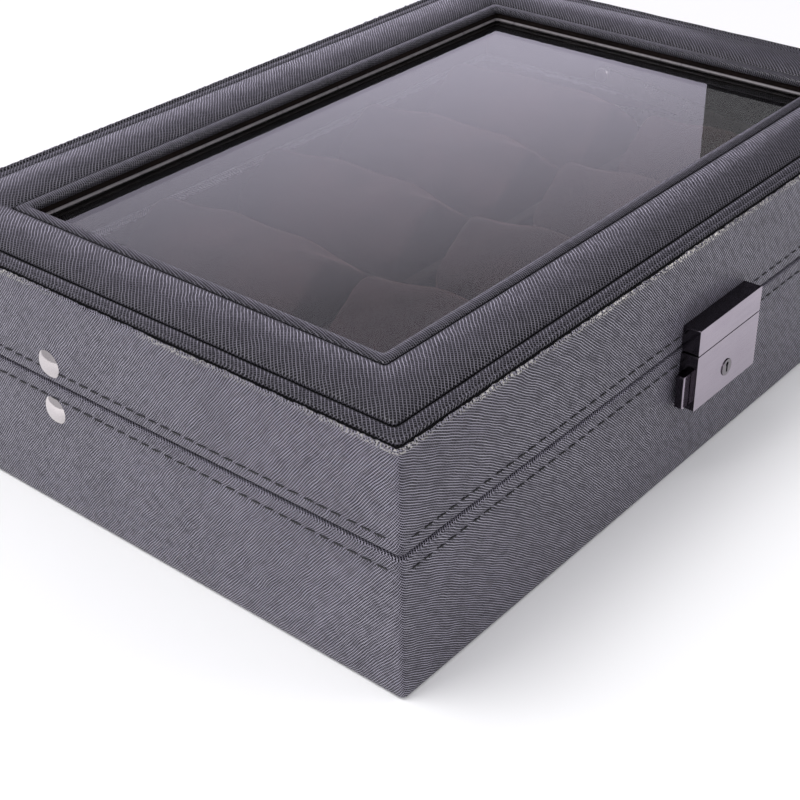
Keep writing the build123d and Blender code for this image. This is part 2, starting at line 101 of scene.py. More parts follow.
camera = bpy.data.objects.new("camera", bpy.data.cameras.new("camera"))
camera.data.lens = LENS
camera.data.sensor_width = SENSOR
camera.data.clip_start = NEAREST
camera_back = CAMERA_RIGHT.cross(-CAMERA_DOWN)
turn = Matrix((CAMERA_RIGHT, -CAMERA_DOWN, camera_back)).transposed().to_4x4()
camera.matrix_world = Matrix.Translation(CAMERA_AT) @ turn
bpy.context.collection.objects.link(camera)
bpy.context.scene.camera = camera
bpy.context.scene.view_settings.view_transform = "Standard"
print("camera looks along", [round(v, 3) for v in -camera_back])


# %% Hang the soft panels
def soft_panel(name, azimuth, elevation, distance, side, power):
    """A square soft light that faces the box. Azimuth runs from +Y towards +X, in degrees."""
    a, e = math.radians(azimuth), math.radians(elevation)
    away = Vector((math.sin(a) * math.cos(e), math.cos(a) * math.cos(e), math.sin(e)))
    light = bpy.data.lights.new(name, "AREA")
    light.shape = "SQUARE"
    light.size = side
    light.energy = power
    panel = bpy.data.objects.new(name, light)
    panel.rotation_mode = "QUATERNION"
    panel.location = away * distance
    panel.rotation_quaternion = away.to_track_quat("Z", "Y")
    panel.visible_camera = False
    bpy.context.collection.objects.link(panel)


soft_panel("panel_above", -60, 66, 1.6, 0.8, 13)
soft_panel("panel_left", -115, 32, 1.5, 0.7, 4)
soft_panel("panel_right", 150, 25, 1.6, 0.7, 3.5)

# %% Fill the room with pale light
ROOM_COLOUR = (0.96, 0.95, 1.0, 1)
ROOM_STRENGTH = 0.6
world = bpy.data.worlds.new("pale_room")
world.use_nodes = True
room = world.node_tree.nodes["Background"]
room.inputs["Color"].default_value = ROOM_COLOUR
room.inputs["Strength"].default_value = ROOM_STRENGTH
bpy.context.scene.world = world
print("room light", ROOM_STRENGTH)

# %% [markdown]
# ## Small helpers for shaders
# A material is a graph of nodes. These helpers add one node at a time and join it, so that a
# finish reads from top to bottom. A group's sockets are named, and each material that uses the
# group gives them its own values.


# %% Add and join shader nodes
def add(tree, kind, inputs=None, **settings):
    """Adds a shader node. An input is either a plain value or another node's output."""
    made = tree.nodes.new("ShaderNode" + kind)
    for key, value in settings.items():
        setattr(made, key, value)
    for key, value in (inputs or {}).items():
        if isinstance(value, bpy.types.NodeSocket):
            tree.links.new(value, made.inputs[key])
        else:
            made.inputs[key].default_value = value
    return made


def calc(tree, operation, first, second=0.0, third=0.0):
    """One sum on numbers, and its result."""
    made = add(tree, "Math", {0: first, 1: second, 2: third}, operation=operation)
    return made.outputs[0]


def spread(tree, value, low, high, to_low=0.0, to_high=1.0):
    """Maps a value from one range to another and holds it inside the new one."""
    ends = {"Value": value, "From Min": low, "From Max": high, "To Min": to_low, "To Max": to_high}
    return add(tree, "MapRange", ends).outputs[0]


def blend_colour(tree, share, first, second):
    """A colour between two others."""
    made = add(tree, "Mix", data_type="RGBA")
    for place, value in ((0, share), (6, first), (7, second)):
        if isinstance(value, bpy.types.NodeSocket):
            tree.links.new(value, made.inputs[place])
        else:
            made.inputs[place].default_value = value
    return made.outputs[2]


def new_group(name, inputs, outputs):
    """An empty node group with named sockets, and its two ends."""
    tree = bpy.data.node_groups.new(name, "ShaderNodeTree")
    for label, kind, value in inputs:
        socket = tree.interface.new_socket(label, in_out="INPUT", socket_type="NodeSocket" + kind)
        if value is not None:
            socket.default_value = value
    for label, kind in outputs:
        tree.interface.new_socket(label, in_out="OUTPUT", socket_type="NodeSocket" + kind)
    return tree, tree.nodes.new("NodeGroupInput").outputs, tree.nodes.new("NodeGroupOutput").inputs


def new_material(name):
    """An empty material with a Principled shader, and the tree and shader to work on."""
    made = bpy.data.materials.new(name)
    made.use_nodes = True
    return made, made.node_tree, made.node_tree.nodes["Principled BSDF"]


def plain(shader, values):
    """Sets the sockets whose value is the same all over the surface."""
    for socket, value in values.items():
        shader.inputs[socket].default_value = value


def relief(tree, shader, height, strength, depth):
    """Turns a height into a bump on the shader. The depth is in metres."""
    bump = add(tree, "Bump", {"Height": height, "Strength": strength, "Distance": depth})
    tree.links.new(bump.outputs[0], shader.inputs["Normal"])


def mottle(tree, scale, detail):
    """Plain noise on Object coordinates."""
    at = add(tree, "TexCoord").outputs["Object"]
    return add(tree, "TexNoise", {"Vector": at, "Scale": scale, "Detail": detail}).outputs["Fac"]


# %% [markdown]
# ## Shared surface effects
# The same few things happen on many finishes: leather grain, the nap of velvet, fine scratches
# and dust. Each is a group that puts out heights and masks. The cross grain is two families of
# wavy ridges that break up and cross, pressed into real leather by an engraved roller.

# %% Build the cross grain
grain, g_in, g_out = new_group(
    "CrossGrain",
    [("Vector", "Vector", None), ("Pitch", "Float", 0.001), ("First Turn", "Float", 0.0),
     ("Second Turn", "Float", 1.5), ("First Share", "Float", 1.0), ("Second Share", "Float", 0.6),
     ("Wander", "Float", 0.0008)],
    [("Height", "Float"), ("Ridge", "Float")],
)
WAVE_PER_METRE = math.tau / 10
DRIFT_SCALE, PORE_SCALE, PORE_DEPTH = 110, 2600, 0.25
drift = add(grain, "TexNoise", {"Vector": g_in["Vector"], "Scale": DRIFT_SCALE, "Detail": 2})
drift_off = add(grain, "VectorMath", {0: drift.outputs["Color"], 1: (0.5, 0.5, 0.5)},
                operation="SUBTRACT")
drift_by = add(grain, "VectorMath", {0: drift_off.outputs[0], "Scale": g_in["Wander"]},
               operation="SCALE")
bent = add(grain, "VectorMath", {0: g_in["Vector"], 1: drift_by.outputs[0]},
           operation="ADD").outputs[0]
wave_scale = calc(grain, "DIVIDE", WAVE_PER_METRE, g_in["Pitch"])
LONG_WAY = (0.45, 1.5, 1)


def ridge_family(turn, share, break_scale):
    """Parallel wavy ridges along one direction, broken at random along their length."""
    along = calc(grain, "MULTIPLY", turn, -1.0)
    local = add(grain, "VectorRotate", {"Vector": bent, "Angle": along}, rotation_type="Z_AXIS")
    wave = add(grain, "TexWave",
               {"Vector": local.outputs[0], "Scale": wave_scale, "Distortion": 1.1, "Detail": 2,
                "Detail Scale": 0.8}, bands_direction="Y")
    long_way = add(grain, "VectorMath", {0: local.outputs[0], 1: LONG_WAY}, operation="MULTIPLY")
    breaks = add(grain, "TexNoise",
                 {"Vector": long_way.outputs[0], "Scale": break_scale, "Detail": 3})
    kept = spread(grain, breaks.outputs["Fac"], 0.34, 0.56, 0.55, 1.0)
    crest = spread(grain, wave.outputs["Fac"], 0.66, 0.94)
    return calc(grain, "MULTIPLY", calc(grain, "MULTIPLY", crest, kept), share)


first = ridge_family(g_in["First Turn"], g_in["First Share"], 420)
second = ridge_family(g_in["Second Turn"], g_in["Second Share"], 520)
both = calc(grain, "MAXIMUM", first, second)
pores = add(grain, "TexNoise", {"Vector": bent, "Scale": PORE_SCALE, "Detail": 2}).outputs["Fac"]
grain.links.new(calc(grain, "MULTIPLY_ADD", pores, PORE_DEPTH, both), g_out["Height"])
grain.links.new(both, g_out["Ridge"])
print("group", grain.name, len(grain.nodes), "nodes")

# %% Build the nap
nap, n_in, n_out = new_group(
    "VelvetNap",
    [("Vector", "Vector", None), ("Fibre", "Float", 0.0006), ("Patch", "Float", 0.02)],
    [("Height", "Float"), ("Brushed", "Float")],
)
fibre = add(nap, "TexNoise", {"Vector": n_in["Vector"], "Detail": 3,
                              "Scale": calc(nap, "DIVIDE", 1.0, n_in["Fibre"])})
patch = add(nap, "TexNoise", {"Vector": n_in["Vector"], "Detail": 2,
                              "Scale": calc(nap, "DIVIDE", 1.0, n_in["Patch"])})
nap.links.new(fibre.outputs["Fac"], n_out["Height"])
nap.links.new(spread(nap, patch.outputs["Fac"], 0.3, 0.7), n_out["Brushed"])
print("group", nap.name, len(nap.nodes), "nodes")

# %% Build the fine scratches
STREAK = (60, 2500, 2500)
scratch, s_in, s_out = new_group(
    "FineScratch", [("Vector", "Vector", None), ("Amount", "Float", 0.3)],
    [("Height", "Float"), ("Dull", "Float")],
)
streaks = add(scratch, "VectorMath", {0: s_in["Vector"], 1: STREAK}, operation="MULTIPLY")
lines = add(scratch, "TexNoise",
            {"Vector": streaks.outputs[0], "Scale": 1, "Detail": 2}).outputs["Fac"]
cloud = add(scratch, "TexNoise",
            {"Vector": s_in["Vector"], "Scale": 90, "Detail": 3}).outputs["Fac"]
rubbed = spread(scratch, calc(scratch, "ADD", lines, cloud), 0.8, 1.3)
scratch.links.new(lines, s_out["Height"])
scratch.links.new(calc(scratch, "MULTIPLY", rubbed, s_in["Amount"]), s_out["Dull"])
print("group", scratch.name, len(scratch.nodes), "nodes")

# %% Build the dust
dust, d_in, d_out = new_group(
    "DustSpecks",
    [("Vector", "Vector", None), ("Spacing", "Float", 0.006), ("Speck", "Float", 0.05)],
    [("Mask", "Float")],
)
cells = add(dust, "TexVoronoi", {"Vector": d_in["Vector"],
                                 "Scale": calc(dust, "DIVIDE", 1.0, d_in["Spacing"])})
few = add(dust, "TexNoise", {"Vector": d_in["Vector"], "Scale": 60, "Detail": 1}).outputs["Fac"]
near = calc(dust, "LESS_THAN", cells.outputs["Distance"], d_in["Speck"])
dust.links.new(calc(dust, "MULTIPLY", near, calc(dust, "GREATER_THAN", few, 0.5)), d_out["Mask"])
print("groups:", [g.name for g in bpy.data.node_groups])

# %% [markdown]
# ## Leather finish
# The leather is slate black. Its ridges are glossier than the valleys, because they are polished
# by hands, and their highlight is painted: they are coloured far lighter than the valleys to stand
# for the light they catch. The pattern follows a map called hide, drawn on each piece in metres,
# so the grain has the same size everywhere and turns with the leather.

# %% Mix the leather
VALLEY = (0.0012, 0.001, 0.002, 1)
# The crests' colours are painted highlight: far lighter than the valleys, they stand for the light
# the crests catch.
RIDGE_PAINTED_HIGHLIGHT = (0.49, 0.462, 0.57, 1)
TOP_RIDGE_PAINTED_HIGHLIGHT = (0.185, 0.175, 0.212, 1)
RAW = (0.75, 0.72, 0.68, 1)
HAZE = (0.03, 0.028, 0.036, 1)
PITCH = 1.32 * MM
WANDER = 0.0012
TURN_OVER = 0.15
GRAIN_TURN = math.radians(-19)
CORNER_UV = -HALF_X + HALF_Y


def leather(name, first_turn, second_turn, first_share, second_share, corner_at=None,
            pitch=PITCH, ridge_highlight=RIDGE_PAINTED_HIGHLIGHT, coat=0.8):
    """Cross-grained leather. Turns are in degrees on the hide map.

    Where corner_at is given, the second family is stronger before that place along the map, and
    the first family turns gently after it.
    """
    made, tree, shader = new_material(name)
    hide = add(tree, "UVMap", uv_map="hide").outputs[0]
    turns = {"Vector": hide, "Pitch": pitch, "First Turn": math.radians(first_turn),
             "Second Turn": math.radians(second_turn), "First Share": first_share,
             "Second Share": second_share, "Wander": WANDER}
    # The second family's larger share before the corner is partly painted highlight: it stands for
    # the light falling on that side of the box.
    if corner_at is not None:
        across = add(tree, "SeparateXYZ", {0: hide}).outputs[0]
        before = calc(tree, "LESS_THAN", across, corner_at)
        lay = spread(tree, across, corner_at, corner_at + TURN_OVER, 0, GRAIN_TURN)
        turns["First Turn"] = calc(tree, "ADD", lay, math.radians(first_turn))
        turns["First Share"] = spread(tree, before, 0, 1, first_share, 0.75 * first_share)
        turns["Second Share"] = spread(tree, before, 0, 1, second_share, 1.0)
    pressed = add(tree, "Group", turns, node_tree=grain)
    fur = add(tree, "Attribute", attribute_name="raw").outputs["Fac"]
    frayed = add(tree, "TexNoise", {"Vector": hide, "Scale": 1500, "Detail": 3}).outputs["Fac"]
    torn = calc(tree, "MULTIPLY", fur, spread(tree, frayed, 0.5, 0.57))
    cloudy = add(tree, "TexNoise", {"Vector": hide, "Scale": 38, "Detail": 3}).outputs["Fac"]
    # The crests take the painted highlight colour, and the valleys the leather's own black.
    skin_and_highlight = blend_colour(tree, pressed.outputs["Ridge"], VALLEY, ridge_highlight)
    worn = blend_colour(tree, spread(tree, cloudy, 0.35, 0.75, 0.0, 0.22), skin_and_highlight, HAZE)
    tree.links.new(blend_colour(tree, torn, worn, RAW), shader.inputs["Base Color"])
    rough = spread(tree, pressed.outputs["Ridge"], 0, 1, 0.5, 0.33)
    polished = spread(tree, pressed.outputs["Ridge"], 0.3, 1, 0, coat)
    tree.links.new(rough, shader.inputs["Roughness"])
    tree.links.new(polished, shader.inputs["Coat Weight"])
    lifted = calc(tree, "MULTIPLY_ADD", torn, 0.8, pressed.outputs["Height"])
    relief(tree, shader, lifted, 1.0, 0.00042)
    plain(shader, {"Coat Roughness": 0.2, "Specular IOR Level": 0.16})
    return made


side_leather = leather("side_leather", -32, 50, 1.0, 0.4, corner_at=CORNER_UV)
top_leather = leather("top_leather", 45, -45, 1.0, 0.55, pitch=1.85 * MM, ridge_highlight=TOP_RIDGE_PAINTED_HIGHLIGHT,
                      coat=1.0)
bead_leather = leather("bead_leather", 72, -18, 1.0, 0.5, pitch=1.5 * MM, ridge_highlight=TOP_RIDGE_PAINTED_HIGHLIGHT,
                       coat=1.0)
print("leathers:", side_leather.name, top_leather.name, bead_leather.name)

# %% [markdown]
# ## Leather rings
# The leather wraps and the borders round the glass are all rings of one cross-section. A ring
# starts as a rectangle with rounded corners, divided finely along its length. It is then
# extruded from point to point of the section, and the last loop is joined to the first, so the
# leather is closed and has a real thickness.


# %% Build a ring
SAME_PLACE = 1e-6


def start_ring(half_x, half_y, corner, step):
    """A bmesh holding one closed loop round a rectangle."""
    bm = bmesh.new()
    bmesh.ops.create_grid(bm, x_segments=1, y_segments=1, size=1)
    bmesh.ops.scale(bm, vec=(half_x, half_y, 1), verts=bm.verts)
    bmesh.ops.delete(bm, geom=bm.faces[:], context="FACES_ONLY")
    bmesh.ops.bevel(bm, geom=bm.verts[:], offset=corner, segments=4, profile=0.5, material=-1,
                    affect="VERTICES")
    for axis in (1, 0):
        long_edges = [e for e in bm.edges
                      if abs(e.verts[0].co[axis] - e.verts[1].co[axis]) < SAME_PLACE]
        cuts = int(long_edges[0].calc_length() / step)
        bmesh.ops.subdivide_edges(bm, edges=long_edges, cuts=cuts)
    return bm


def sweep_ring(section, corner, step):
    """Sweeps a closed section of (distance in from the case side, height) round the box.

    The section, the radius of the corners and the step along the ring are in millimetres.
    """
    inset, height = section[0]
    half_x, half_y = HALF_X - inset * MM, HALF_Y - inset * MM
    bm = start_ring(half_x, half_y, corner * MM, step * MM)
    bmesh.ops.translate(bm, vec=(0, 0, height * MM), verts=bm.verts)
    first_loop = bm.edges[:]
    loop = first_loop
    for inset, height in section[1:]:
        made = bmesh.ops.extrude_edge_only(bm, edges=loop)["geom"]
        verts = {g for g in made if isinstance(g, bmesh.types.BMVert)}
        loop = [g for g in made if isinstance(g, bmesh.types.BMEdge) and verts.issuperset(g.verts)]
        new_x, new_y = HALF_X - inset * MM, HALF_Y - inset * MM
        bmesh.ops.scale(bm, vec=(new_x / half_x, new_y / half_y, 1), verts=list(verts))
        z = next(iter(verts)).co.z
        bmesh.ops.translate(bm, vec=(0, 0, height * MM - z), verts=list(verts))
        half_x, half_y = new_x, new_y
    bmesh.ops.bridge_loops(bm, edges=first_loop + loop)
    bmesh.ops.recalc_face_normals(bm, faces=bm.faces)
    return bm


LEVEL = 0.55


def draw_hide(bm):
    """Lays the hide map in metres: round the box on upright faces, flat on level ones."""
    hide = bm.loops.layers.uv.new("hide")
    for face in bm.faces:
        level = abs(face.normal.z) > LEVEL
        for corner in face.loops:
            x, y, z = corner.vert.co
            corner[hide].uv = (x, y) if level else (x - y, z)


def finish_piece(bm, name, material, body):
    """Turns a bmesh into a piece that rides on a body."""
    mesh = bpy.data.meshes.new(name)
    bm.to_mesh(mesh)
    bm.free()
    mesh.materials.append(material)
    for face in mesh.polygons:
        face.use_smooth = True
    piece = bpy.data.objects.new(name, mesh)
    bpy.context.collection.objects.link(piece)
    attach(piece, body)
    print(name, len(mesh.polygons), "faces on", body)
    return piece


# %% [markdown]
# ## The wraps
# One strip of leather covers the base's boards and is folded over their rim and under the
# floor. Another covers the lid. Each rim is a small roll, and the thread lies in a shallow
# trough that it has pulled into the leather. The lid's upper edge was cut and left raw, so it
# crumbles, and it gets small random bumps and a mask that shows the fibres.


# %% Ruffle and fray the leather
RAW_PATCH = 22 * MM


def ruffle(bm, low, high, amount, grain_size, seed):
    """Pushes the points between two heights in and out at random."""
    for v in bm.verts:
        if low < v.co.z < high:
            push = noise.noise(v.co / grain_size + Vector((seed, 0, 0)))
            v.co += v.normal * push * amount


def mark_raw(bm, low, high):
    """Marks the points between two heights as raw edge, in patches."""
    raw = bm.verts.layers.float.new("raw")
    for v in bm.verts:
        if low < v.co.z < high:
            patches = 0.5 + 1.1 * noise.noise(v.co / RAW_PATCH)
            v[raw] = max(0.0, min(1.0, patches))


# %% Fold the base leather
RIM = BASE_RIM / MM
STITCH_BASE = RIM - 4.9
wall_in = WALL / MM
base_section = [
    (wall_in, RIM - 1.6), (wall_in, RIM - 0.4), (wall_in - 0.5, RIM), (8, RIM), (6, RIM - 0.25),
    (1.3, RIM - 0.25), (0.45, RIM - 0.35), (0.08, RIM - 0.75), (0, RIM - 1.3), (0.12, RIM - 2.0),
    (0, RIM - 2.7), (0, STITCH_BASE + 1.0), (0.16, STITCH_BASE + 0.4), (0.2, STITCH_BASE),
    (0.16, STITCH_BASE - 0.4), (0, STITCH_BASE - 1.0), (0, 36), (0, 30), (0, 24), (0, 18), (0, 12),
    (0, 6), (0.0, 2.2), (0.12, 0.9), (0.5, 0.25), (1.2, 0), (8, 0), (14.9, 0), (14.9, 0.8),
    (0.9, 0.8), (0.9, RIM - 1.6),
]
base_bm = sweep_ring(base_section, corner=1.4, step=1.2)
base_bm.normal_update()
ruffle(base_bm, BASE_RIM - 2.1 * MM, BASE_RIM + MM, 0.16 * MM, 1.9 * MM, 3)
ruffle(base_bm, 3 * MM, BASE_RIM - 7 * MM, 0.18 * MM, 26 * MM, 5)
draw_hide(base_bm)
base_wrap = finish_piece(base_bm, "base_wrap", side_leather, "base")
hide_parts("base_leather")

# %% Fold the lid leather
RIM = LID_RIM / MM
TOP = LID_TOP / MM
STITCH_LID = RIM + 4.2
lid_section = [
    (wall_in, RIM + 1.6), (wall_in, RIM + 0.4), (wall_in - 0.5, RIM), (8, RIM), (6, RIM + 0.25),
    (1.3, RIM + 0.25), (0.45, RIM + 0.35), (0.08, RIM + 0.75), (0, RIM + 1.3),
    (0, STITCH_LID - 1.0), (0.16, STITCH_LID - 0.4), (0.2, STITCH_LID),
    (0.16, STITCH_LID + 0.4), (0, STITCH_LID + 1.0),
    (0, 55), (0, 60), (0, 65), (0, 70), (0, 74.5), (-0.02, TOP - 1.5), (-0.05, TOP - 0.8),
    (0.0, TOP - 0.2), (0.3, TOP + 0.2), (0.7, TOP + 0.1), (0.9, TOP - 0.3), (0.9, RIM + 1.6),
]
lid_bm = sweep_ring(lid_section, corner=1.4, step=0.9)
lid_bm.normal_update()
ruffle(lid_bm, LID_TOP - 1.3 * MM, LID_TOP + MM, 0.42 * MM, 1.1 * MM, 11)
ruffle(lid_bm, LID_RIM + 6 * MM, LID_TOP - 2 * MM, 0.18 * MM, 24 * MM, 7)
mark_raw(lid_bm, LID_TOP - 1.25 * MM, LID_TOP + MM)
draw_hide(lid_bm)
lid_wrap = finish_piece(lid_bm, "lid_wrap", side_leather, "lid")
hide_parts("lid_leather")

# %% [markdown]
# ## The border round the glass
# From the outside in, the top has a thin piping roll with a flat band beside it, a wide padded
# crown, and a low bead that turns down to the glass. Each is its own ring. The crown is foam
# under leather, so it is gently domed and its surface wanders a little.


# %% Lay the ledge
BORDER_TOP = 4 * MM


def lay_border(name, section, corner, step, ruffle_from, depth, size, seed, material, covers):
    """One of the rings on the lid's top, ruffled above a height over it, all in mm."""
    bm = sweep_ring(section, corner=corner, step=step)
    bm.normal_update()
    ruffle(bm, LID_TOP + ruffle_from * MM, LID_TOP + BORDER_TOP, depth * MM, size * MM, seed)
    draw_hide(bm)
    border = finish_piece(bm, name, material, "lid")
    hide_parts(covers)
    return border


ledge_section = [
    (1.55, TOP), (1.5, TOP + 0.4), (1.75, TOP + 0.85), (2.3, TOP + 1.05), (2.85, TOP + 0.85),
    (3.2, TOP + 0.32), (3.45, TOP + 0.3), (3.9, TOP + 0.5), (4.9, TOP + 0.62), (6.1, TOP + 0.55),
    (6.9, TOP + 0.3), (7.2, TOP),
]
lay_border("ledge_piping", ledge_section, 1.8, 1.4, 0.2, 0.12, 9, 21, top_leather, "lid_ledge")

# %% Lay the padded crown
crown_section = [
    (7.7, TOP), (7.62, TOP + 0.4), (7.9, TOP + 0.8), (8.7, TOP + 1.2), (10, TOP + 1.55),
    (12, TOP + 1.88), (14.4, TOP + 2.12), (16.8, TOP + 2.2), (19.4, TOP + 2.12), (21.8, TOP + 1.88),
    (24, TOP + 1.5), (25.6, TOP + 1.1), (26.6, TOP + 0.7), (27.2, TOP + 0.35), (27.4, TOP),
]
crown = lay_border("crown_pad", crown_section, 1.6, 1.6, 0.9, 0.22, 13, 31, top_leather,
                   "lid_crown")

# %% Lay the bead at the opening
bead_section = [
    (27.8, TOP), (27.76, TOP + 0.3), (28.1, TOP + 0.55), (28.8, TOP + 0.7), (30.0, TOP + 0.72),
    (31.0, TOP + 0.6), (31.7, TOP + 0.25), (31.9, TOP - 0.3), (31.9, TOP - 1.6), (31.35, TOP - 1.6),
    (31.3, TOP),
]
lay_border("opening_bead", bead_section, 1.2, 1.6, 0.3, 0.08, 8, 41, bead_leather, "lid_bead")

# %% [markdown]
# ## Thread
# A machine sewed one row above the parting line and one below it. Each stitch is a short, flat
# bead of thread with a gap after it, and no two lie quite the same way. Hundreds of stitches
# are needed, so each has only a few faces.

# %% Spin the thread
THREAD_DARK = (0.004, 0.004, 0.005, 1)
THREAD_LIGHT = (0.016, 0.015, 0.018, 1)
thread, thread_tree, thread_shader = new_material("black_thread")
thread_at = add(thread_tree, "TexCoord").outputs["Object"]
twist = add(thread_tree, "TexWave", {"Vector": thread_at, "Scale": 900, "Distortion": 2},
            bands_direction="DIAGONAL").outputs["Fac"]
thread_tree.links.new(blend_colour(thread_tree, twist, THREAD_DARK, THREAD_LIGHT),
                      thread_shader.inputs["Base Color"])
relief(thread_tree, thread_shader, twist, 0.5, 0.0001)
plain(thread_shader, {"Roughness": 0.55})
print("material", thread.name)


# %% Sew the stitches
STITCH_PITCH = 4.8 * MM
STITCH_HALF = 2.05 * MM
THREAD_R = 0.25 * MM
SUNK = 0.02 * MM
END_GAP = 5 * MM


def sew_row(name, height, body, seed):
    """A row of stitches round the box at one height, with a gap behind the lock."""
    rng = random.Random(seed)
    lock_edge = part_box("lock_case")[1][0]
    bm = bmesh.new()
    for turned, reach, out in ((False, HALF_X, HALF_Y), (True, HALF_Y, HALF_X)):
        count = int((2 * reach - END_GAP) / STITCH_PITCH)
        for side in (-1, 1):
            for i in range(count):
                middle = (i - (count - 1) / 2) * STITCH_PITCH
                along = middle + rng.uniform(-0.25, 0.25) * MM
                if not turned and side < 0 and abs(along) < lock_edge:
                    continue
                tilt = Matrix.Rotation(math.radians(rng.uniform(2, 7)), 4, "Y")
                half = STITCH_HALF * rng.uniform(0.9, 1.06)
                size = Matrix.Diagonal((half, THREAD_R, THREAD_R, 1))
                place = Matrix.Translation((along, side * (out - SUNK), height))
                if turned:
                    place = Matrix.Rotation(math.radians(90), 4, "Z") @ place
                bmesh.ops.create_uvsphere(bm, u_segments=6, v_segments=5, radius=1,
                                          matrix=place @ tilt @ size)
    finish_piece(bm, name, thread, body)


sew_row("stitches_base", STITCH_BASE * MM, "base", 4)
sew_row("stitches_lid", STITCH_LID * MM, "lid", 9)

# %% [markdown]
# ## Velvet and felt
# The pillows are brown-black velvet, which is dark where you look into the pile and pale along
# its turning edges. That is what the shader's sheen does. The linings are short felt, and dust
# settles on all of them, which the group of specks adds.


# %% Mix the cloths
DUST = (0.12, 0.105, 0.1, 1)


def cloth(name, dark, light, sheen, sheen_tint, fibre, patch, speck):
    """Velvet or felt, from its two colours and the size of its fibres and brushed patches."""
    made, tree, shader = new_material(name)
    at = add(tree, "TexCoord").outputs["Object"]
    pile = add(tree, "Group", {"Vector": at, "Fibre": fibre, "Patch": patch}, node_tree=nap)
    specks = add(tree, "Group", {"Vector": at, "Speck": speck}, node_tree=dust)
    mixed = calc(tree, "MULTIPLY_ADD", pile.outputs["Height"], 0.2,
                 calc(tree, "MULTIPLY", pile.outputs["Brushed"], 0.8))
    body = blend_colour(tree, mixed, dark, light)
    tree.links.new(blend_colour(tree, specks.outputs["Mask"], body, DUST),
                   shader.inputs["Base Color"])
    relief(tree, shader, pile.outputs["Height"], 0.12, 0.0001)
    plain(shader, {"Roughness": 0.95, "Specular IOR Level": 0.15, "Sheen Weight": sheen,
                   "Sheen Roughness": 0.35, "Sheen Tint": sheen_tint})
    return made


velvet = cloth("pillow_velvet", (0.007, 0.0034, 0.0038, 1), (0.019, 0.009, 0.0098, 1), 0.16,
               (0.62, 0.36, 0.34, 1), 0.0005, 0.018, 0.03)
brown_felt = cloth("brown_felt", (0.004, 0.0024, 0.0023, 1), (0.010, 0.0056, 0.0053, 1), 0.08,
                   (0.6, 0.45, 0.42, 1), 0.0004, 0.03, 0.035)
black_felt = cloth("black_felt", (0.004, 0.004, 0.0045, 1), (0.010, 0.0098, 0.0105, 1), 0.12,
                   (0.5, 0.5, 0.55, 1), 0.0004, 0.03, 0.04)
base_felt = cloth("base_felt", (0.010, 0.010, 0.011, 1), (0.026, 0.025, 0.027, 1), 0.25,
                  (0.5, 0.5, 0.5, 1), 0.0007, 0.025, 0.05)
wall_cloth = cloth("opening_cloth", (0.004, 0.0022, 0.002, 1), (0.009, 0.0048, 0.004, 1), 0.08,
                   (0.6, 0.4, 0.35, 1), 0.0004, 0.02, 0.03)


# %% Line the case
def dress(material, *names):
    """Gives CAD nodes a finish."""
    for name in names:
        mesh = nodes[name].data
        mesh.materials.clear()
        mesh.materials.append(material)
    print(material.name, "on", len(names), "nodes")


CLOSE = 0.00001
SHARP = math.radians(40)


def soften(name, width):
    """Rounds a CAD node's sharp edges without touching its mesh."""
    part = nodes[name]
    weld = part.modifiers.new("weld", "WELD")
    weld.merge_threshold = CLOSE
    rounded = part.modifiers.new("round_edges", "BEVEL")
    rounded.limit_method = "ANGLE"
    rounded.angle_limit = SHARP
    rounded.width = width
    rounded.segments = 3


DIVIDERS = ["divider_long"] + [f"divider_cross_{n}" for n in range(1, 5)]
dress(brown_felt, "base_lining", *DIVIDERS)
dress(black_felt, "lid_lining", "lid_retainer")
dress(wall_cloth, "lid_opening_lining")
dress(base_felt, "base_felt")

# %% [markdown]
# ## Pillows
# Each pillow is a velvet pouch with soft filling. The CAD solid gives its room. A copy of it is
# made a little smaller, remeshed evenly and blown up from inside as cloth, so that its faces
# swell and its seams pull in. Its ends are then pinched to a gable, as where a pouch is sewn
# shut. One pillow is made this way and set in all ten places, each with its own small dents.

# %% Cut one pillow
PUFF_CAP = 3.2 * MM
VOXEL = 3.2 * MM
SHRINK = 0.955
MASTER = "pillow_front_3"
low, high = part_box(MASTER)
pillow_mid = (Vector(low) + Vector(high)) / 2
scene = bpy.context.scene


def settled_mesh(o):
    """The object's mesh with its modifiers worked in."""
    graph = bpy.context.evaluated_depsgraph_get()
    return bpy.data.meshes.new_from_object(o.evaluated_get(graph))


work = bpy.data.objects.new("pillow_work", nodes[MASTER].data.copy())
bpy.context.collection.objects.link(work)
bm = bmesh.new()
bm.from_mesh(work.data)
bmesh.ops.remove_doubles(bm, verts=bm.verts, dist=CLOSE)
bmesh.ops.translate(bm, vec=-pillow_mid, verts=bm.verts)
bmesh.ops.scale(bm, vec=(SHRINK, SHRINK, SHRINK), verts=bm.verts)
bm.to_mesh(work.data)
bm.free()
remesh = work.modifiers.new("even_faces", "REMESH")
remesh.mode = "VOXEL"
remesh.voxel_size = VOXEL
work.data = settled_mesh(work)
work.modifiers.clear()
print("pillow cut from", MASTER, "with", len(work.data.vertices), "points")

# %% Blow it up
flat_points = [v.co.copy() for v in work.data.vertices]
inflate = work.modifiers.new("inflate", "CLOTH")
inflate.settings.use_pressure = True
inflate.settings.uniform_pressure_force = 4
inflate.settings.effector_weights.gravity = 0
inflate.settings.tension_stiffness = 15
for step in range(1, 21):
    scene.frame_set(step)
puffed = settled_mesh(work)
work.modifiers.clear()
for v, start in zip(puffed.vertices, flat_points):
    move = v.co - start
    v.co = start + (move.normalized() * PUFF_CAP if move.length > PUFF_CAP else move)
work.data = puffed
scene.frame_set(1)
print("blown up, size mm:", [round(d / MM, 1) for d in work.dimensions])

